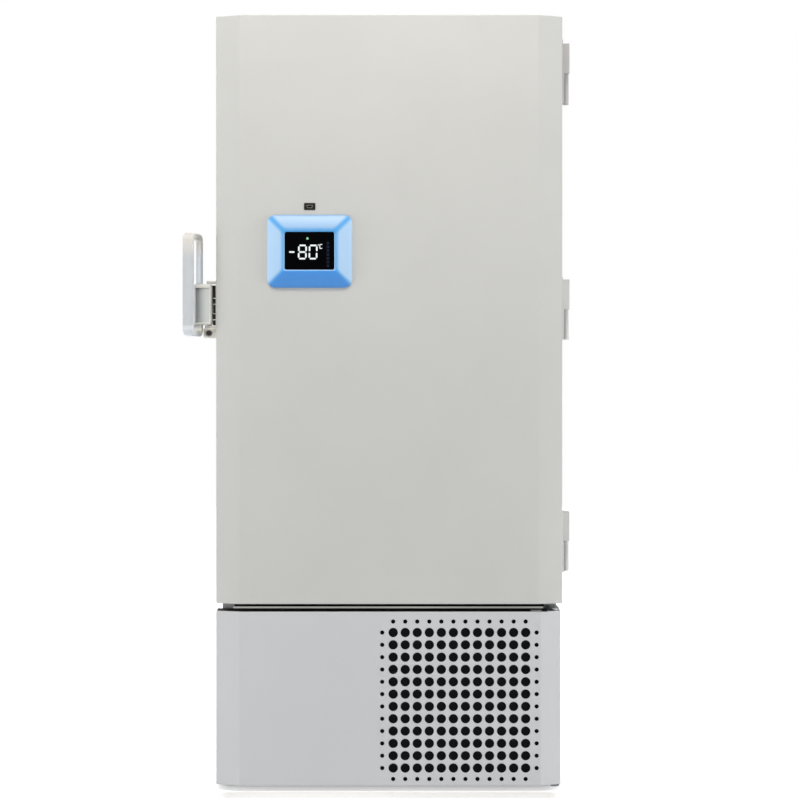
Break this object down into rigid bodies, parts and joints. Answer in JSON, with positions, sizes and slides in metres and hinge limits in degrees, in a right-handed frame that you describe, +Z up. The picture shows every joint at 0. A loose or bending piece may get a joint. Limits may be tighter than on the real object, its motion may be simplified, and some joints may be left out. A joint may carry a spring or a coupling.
{
  "type": "ultra low temperature freezer",
  "caption": "Upright ultra low temperature freezer on casters, with a faceted outer door, side grip handle, display, inner doors, shelves and a perforated lower access door.",
  "frame": {"origin": "on the floor, under the centre of the cabinet's own footprint", "axes": "+X to the viewer's right, +Y from the front to the back, +Z up"},
  "size_m": [0.9955, 0.957, 1.98],
  "materials": {
    "cabinet_paint": "satin white powder coat",
    "door_paint": "satin light grey powder coat",
    "hinge_paint": "satin light grey",
    "handle_paint": "satin light grey",
    "galvanised": "galvanised sheet",
    "stainless": "brushed stainless",
    "foam": "foamed insulation",
    "white_plastic": "white moulded plastic",
    "copper": "copper tube",
    "seal": "soft grey seal",
    "blue_plastic": "pale blue translucent plastic",
    "screen_glass": "black glass",
    "black_plastic": "black plastic",
    "filter_foam": "black open foam",
    "black_iron": "black enamelled can",
    "aluminium_fins": "bare fins",
    "wheel_rubber": "dark grey tread"
  },
  "bodies": {
    "cabinet": {"side_panel_left": "cabinet_paint", "side_panel_right": "cabinet_paint", "top_panel": "cabinet_paint", "back_panel": "galvanised", "foam_insulation": "foam", "inner_liner": "stainless", "breaker_frame": "white_plastic", "evaporator_coil": "copper", "cabinet_floor_plate": "cabinet_paint", "front_sill": "galvanised", "shelves": "stainless", "shelf_standards": "stainless", "hinge_pins": "stainless", "hinge_cabinet_leaves": "hinge_paint", "latch_strike": "stainless", "access_hinge_brackets": "galvanised", "base_pan": "galvanised", "rear_grille_panel": "galvanised", "compressors": "black_iron", "condenser_coil": "aluminium_fins", "fan_shroud": "galvanised", "fan_motor": "black_plastic", "refrigerant_circuit": "copper", "control_box": "galvanised", "backup_battery": "black_plastic", "wall_bumpers": "black_plastic", "access_port_sleeve": "white_plastic", "power_inlet": "black_plastic", "caster_plates": "galvanised"},
    "outer_door": {"door_outer_skin": "door_paint", "door_foam": "foam", "door_inner_panel": "white_plastic", "door_gasket": "seal", "display_bezel": "blue_plastic", "display_screen": "screen_glass", "data_port": "black_plastic", "latch_base": "handle_paint", "latch_pin": "stainless", "hinge_door_leaves": "hinge_paint"},
    "handle": {"door_handle": "handle_paint"},
    "lock": {"lock_plug": "black_plastic"},
    "access_door": {"access_door_front": "door_paint", "access_door_frame": "door_paint", "air_filter": "filter_foam"},
    "fan": {"fan_blade": "black_plastic"},
    "rocker": {"power_switch": "black_plastic"},
    "inner_door_1": {"inner_door_1": "white_plastic"},
    "inner_door_2": {"inner_door_2": "white_plastic"},
    "inner_door_3": {"inner_door_3": "white_plastic"},
    "inner_door_4": {"inner_door_4": "white_plastic"},
    "caster_front_left": {"caster_fork_front_left": "galvanised"},
    "wheel_front_left": {"caster_wheel_front_left": "wheel_rubber"},
    "caster_front_right": {"caster_fork_front_right": "galvanised"},
    "wheel_front_right": {"caster_wheel_front_right": "wheel_rubber"},
    "caster_rear_left": {"caster_fork_rear_left": "galvanised"},
    "wheel_rear_left": {"caster_wheel_rear_left": "wheel_rubber"},
    "caster_rear_right": {"caster_fork_rear_right": "galvanised"},
    "wheel_rear_right": {"caster_wheel_rear_right": "wheel_rubber"},
    "brake_front_left": {"caster_brake_front_left": "black_plastic"},
    "brake_front_right": {"caster_brake_front_right": "black_plastic"}
  },
  "joints": [
    {"name": "outer_door_swing", "type": "hinge", "parent": "cabinet", "child": "outer_door", "pos_m": [0.458, -0.395, 1.233], "axis": [0, 0, 1], "range_deg": [0, 115]},
    {"name": "handle_turn", "type": "hinge", "parent": "outer_door", "child": "handle", "pos_m": [-0.466, -0.425, 1.245], "axis": [0, 0, 1], "range_deg": [-12, 35]},
    {"name": "lock_turn", "type": "hinge", "parent": "outer_door", "child": "lock", "pos_m": [-0.466, -0.43, 1.171], "axis": [0, 1, 0], "range_deg": [0, 90]},
    {"name": "access_door_swing", "type": "hinge", "parent": "cabinet", "child": "access_door", "pos_m": [0.4245, -0.479, 0.237], "axis": [0, 0, 1], "range_deg": [0, 100]},
    {"name": "fan_spin", "type": "hinge", "parent": "cabinet", "child": "fan", "pos_m": [0.185, -0.271, 0.253], "axis": [0, 1, 0], "continuous": true},
    {"name": "rocker_tilt", "type": "hinge", "parent": "cabinet", "child": "rocker", "pos_m": [0.33, 0.3845, 0.24], "axis": [-1, 0, 0], "range_deg": [0, 20]},
    {"name": "inner_door_1_swing", "type": "hinge", "parent": "cabinet", "child": "inner_door_1", "pos_m": [0.273, -0.366, 0.7505], "axis": [0, 0, 1], "range_deg": [0, 100]},
    {"name": "inner_door_2_swing", "type": "hinge", "parent": "cabinet", "child": "inner_door_2", "pos_m": [0.273, -0.366, 1.0755], "axis": [0, 0, 1], "range_deg": [0, 100]},
    {"name": "inner_door_3_swing", "type": "hinge", "parent": "cabinet", "child": "inner_door_3", "pos_m": [0.273, -0.366, 1.4005], "axis": [0, 0, 1], "range_deg": [0, 100]},
    {"name": "inner_door_4_swing", "type": "hinge", "parent": "cabinet", "child": "inner_door_4", "pos_m": [0.273, -0.366, 1.7255], "axis": [0, 0, 1], "range_deg": [0, 100]},
    {"name": "caster_front_left_swivel", "type": "hinge", "parent": "cabinet", "child": "caster_front_left", "pos_m": [-0.33, -0.285, 0.09], "axis": [0, 0, 1], "continuous": true},
    {"name": "wheel_front_left_roll", "type": "hinge", "parent": "caster_front_left", "child": "wheel_front_left", "pos_m": [-0.33, -0.255, 0.0375], "axis": [1, 0, 0], "continuous": true},
    {"name": "caster_front_right_swivel", "type": "hinge", "parent": "cabinet", "child": "caster_front_right", "pos_m": [0.33, -0.285, 0.09], "axis": [0, 0, 1], "continuous": true},
    {"name": "wheel_front_right_roll", "type": "hinge", "parent": "caster_front_right", "child": "wheel_front_right", "pos_m": [0.33, -0.255, 0.0375], "axis": [1, 0, 0], "continuous": true},
    {"name": "caster_rear_left_swivel", "type": "hinge", "parent": "cabinet", "child": "caster_rear_left", "pos_m": [-0.33, 0.285, 0.09], "axis": [0, 0, 1], "continuous": true},
    {"name": "wheel_rear_left_roll", "type": "hinge", "parent": "caster_rear_left", "child": "wheel_rear_left", "pos_m": [-0.33, 0.315, 0.0375], "axis": [1, 0, 0], "continuous": true},
    {"name": "caster_rear_right_swivel", "type": "hinge", "parent": "cabinet", "child": "caster_rear_right", "pos_m": [0.33, 0.285, 0.09], "axis": [0, 0, 1], "continuous": true},
    {"name": "wheel_rear_right_roll", "type": "hinge", "parent": "caster_rear_right", "child": "wheel_rear_right", "pos_m": [0.33, 0.315, 0.0375], "axis": [1, 0, 0], "continuous": true},
    {"name": "brake_front_left_press", "type": "hinge", "parent": "caster_front_left", "child": "brake_front_left", "pos_m": [-0.33, -0.22672, 0.07121], "axis": [-1, 0, 0], "range_deg": [0, 12]},
    {"name": "brake_front_right_press", "type": "hinge", "parent": "caster_front_right", "child": "brake_front_right", "pos_m": [0.33, -0.22672, 0.07121], "axis": [-1, 0, 0], "range_deg": [0, 12]}
  ],
  "couplings": [
    {"joint": "inner_door_1_swing", "follows": "outer_door_swing", "ratio": 0.86},
    {"joint": "inner_door_2_swing", "follows": "outer_door_swing", "ratio": 0.86},
    {"joint": "inner_door_3_swing", "follows": "outer_door_swing", "ratio": 0.86},
    {"joint": "inner_door_4_swing", "follows": "outer_door_swing", "ratio": 0.86}
  ]
}
